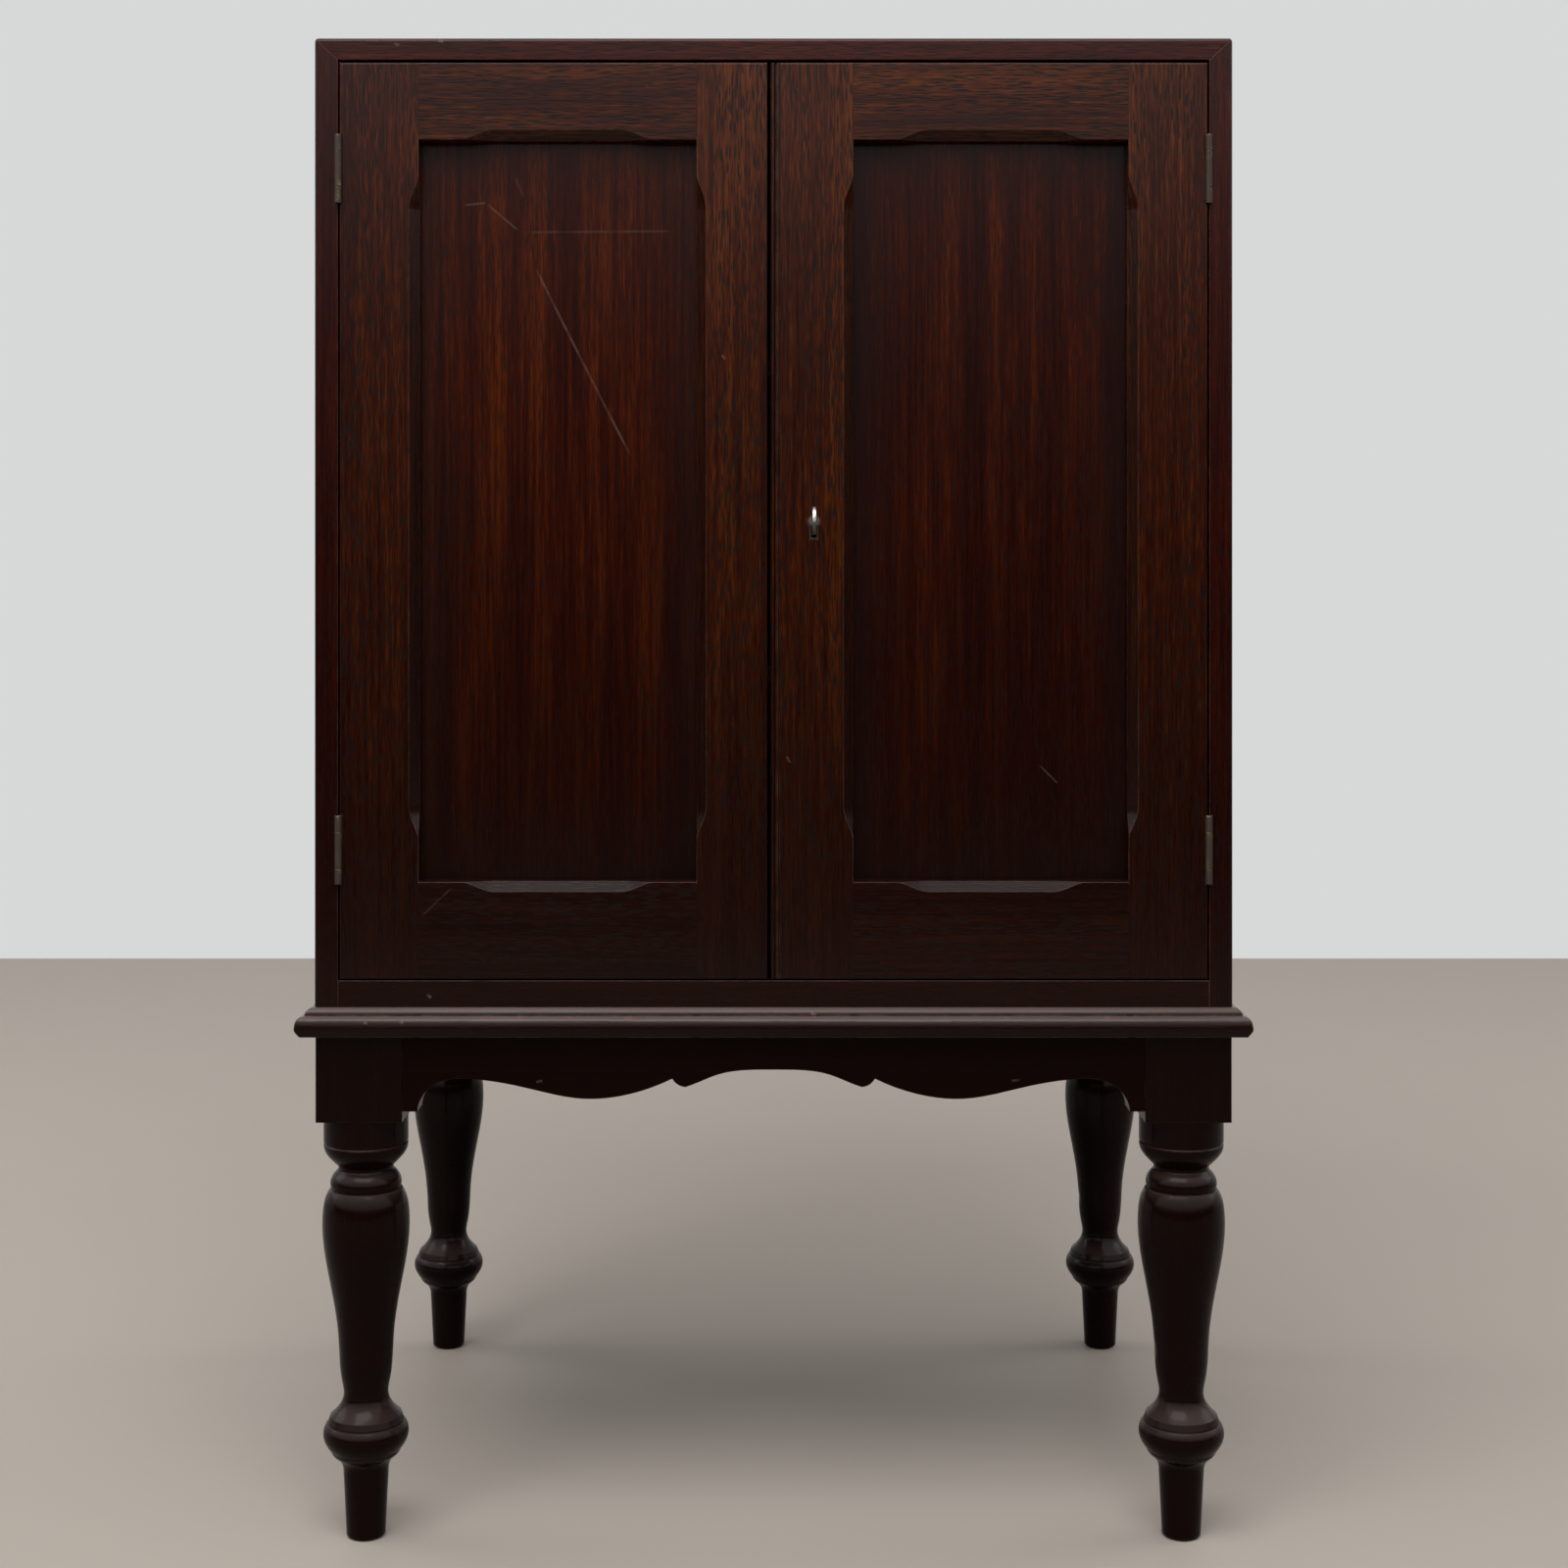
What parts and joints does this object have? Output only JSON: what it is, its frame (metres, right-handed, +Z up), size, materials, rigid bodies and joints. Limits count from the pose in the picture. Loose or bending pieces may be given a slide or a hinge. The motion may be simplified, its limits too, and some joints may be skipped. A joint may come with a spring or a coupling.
{
  "type": "side cabinet",
  "caption": "Two-door panelled cupboard on a stand with a shaped apron, turned legs and a moulded frame; hinged doors, lock with key, bolts and shelves.",
  "frame": {"origin": "centre of the bounding box on the floor, with the key in its lock counted in the depth", "axes": "+X across the doors to the viewer's right, +Y from the doors to the back, +Z up"},
  "size_m": [0.5446, 0.416, 0.8655],
  "materials": {
    "leg_mahogany": "turned mahogany, dark French polish",
    "apron_mahogany": "sawn-edged mahogany, dark French polish",
    "moulding_mahogany": "run moulding, French polish worn on the nose",
    "carcass_mahogany": "mahogany, French polish",
    "door_mahogany": "mahogany frame, French polish",
    "panel_mahogany": "straight-grained mahogany panel, scratched polish",
    "shelf_wood": "unpolished stained softwood",
    "secondary_wood": "unpolished stained softwood",
    "hinge_brass": "aged brass",
    "bolt_brass": "aged brass",
    "lock_brass": "aged brass",
    "escutcheon_brass": "darkened brass",
    "brass_screws": "aged brass",
    "steel_screws": "dull iron",
    "key_steel": "worn nickel plate"
  },
  "bodies": {
    "root": {"leg_front_left": "leg_mahogany", "leg_front_right": "leg_mahogany", "leg_back_left": "leg_mahogany", "leg_back_right": "leg_mahogany", "apron_front": "apron_mahogany", "apron_back": "apron_mahogany", "apron_left": "apron_mahogany", "apron_right": "apron_mahogany", "moulding_front": "moulding_mahogany", "moulding_left": "moulding_mahogany", "moulding_right": "moulding_mahogany", "stand_back_rail": "secondary_wood", "glue_blocks": "secondary_wood", "stand_screws": "steel_screws", "side_left": "carcass_mahogany", "side_right": "carcass_mahogany", "top_board": "carcass_mahogany", "bottom_board": "carcass_mahogany", "back_board_left": "secondary_wood", "back_board_middle": "secondary_wood", "back_board_right": "secondary_wood", "back_screws": "steel_screws", "shelf_lower": "shelf_wood", "shelf_upper": "shelf_wood", "door_stop": "secondary_wood", "hinge_left_top_carcass_leaf": "hinge_brass", "hinge_left_bottom_carcass_leaf": "hinge_brass", "hinge_right_top_carcass_leaf": "hinge_brass", "hinge_right_bottom_carcass_leaf": "hinge_brass", "hinge_pins": "hinge_brass", "brass_screws_carcass": "brass_screws"},
    "door_left": {"left_hinge_stile": "door_mahogany", "left_closing_stile": "door_mahogany", "left_top_rail": "door_mahogany", "left_bottom_rail": "door_mahogany", "left_panel": "panel_mahogany", "strike_plate": "bolt_brass", "bolt_plate_top": "bolt_brass", "bolt_plate_bottom": "bolt_brass", "hinge_left_top_door_leaf": "hinge_brass", "hinge_left_bottom_door_leaf": "hinge_brass", "brass_screws_left_door": "brass_screws"},
    "door_right": {"right_hinge_stile": "door_mahogany", "right_closing_stile": "door_mahogany", "right_top_rail": "door_mahogany", "right_bottom_rail": "door_mahogany", "right_panel": "panel_mahogany", "meeting_bead": "door_mahogany", "lock_case": "lock_brass", "lock_cover": "lock_brass", "escutcheon": "escutcheon_brass", "hinge_right_top_door_leaf": "hinge_brass", "hinge_right_bottom_door_leaf": "hinge_brass", "brass_screws_right_door": "brass_screws"},
    "bolt_top": {"bolt_top": "bolt_brass"},
    "bolt_bottom": {"bolt_bottom": "bolt_brass"},
    "lock_bolt": {"lock_bolt": "lock_brass"},
    "key": {"key": "key_steel"}
  },
  "joints": [
    {"name": "door_left_hinge", "type": "hinge", "parent": "root", "child": "door_left", "pos_m": [-0.2486, -0.187, 0.59], "axis": [0, 0, -1], "range_deg": [0, 175]},
    {"name": "door_right_hinge", "type": "hinge", "parent": "root", "child": "door_right", "pos_m": [0.2486, -0.187, 0.59], "axis": [0, 0, 1], "range_deg": [0, 175]},
    {"name": "bolt_top_slide", "type": "slide", "parent": "door_left", "child": "bolt_top", "axis": [0, 0, 1], "range_m": [0, 0.008]},
    {"name": "bolt_bottom_slide", "type": "slide", "parent": "door_left", "child": "bolt_bottom", "axis": [0, 0, -1], "range_m": [0, 0.008]},
    {"name": "key_turn", "type": "hinge", "parent": "door_right", "child": "key", "pos_m": [0.023, -0.186, 0.589], "axis": [0, -1, 0], "range_deg": [0, 360]},
    {"name": "lock_bolt_slide", "type": "slide", "parent": "door_right", "child": "lock_bolt", "axis": [-1, 0, 0], "range_m": [0, 0.006]}
  ],
  "couplings": [
    {"joint": "key_turn", "follows": "lock_bolt_slide", "rad_per_m": 1047.2}
  ]
}
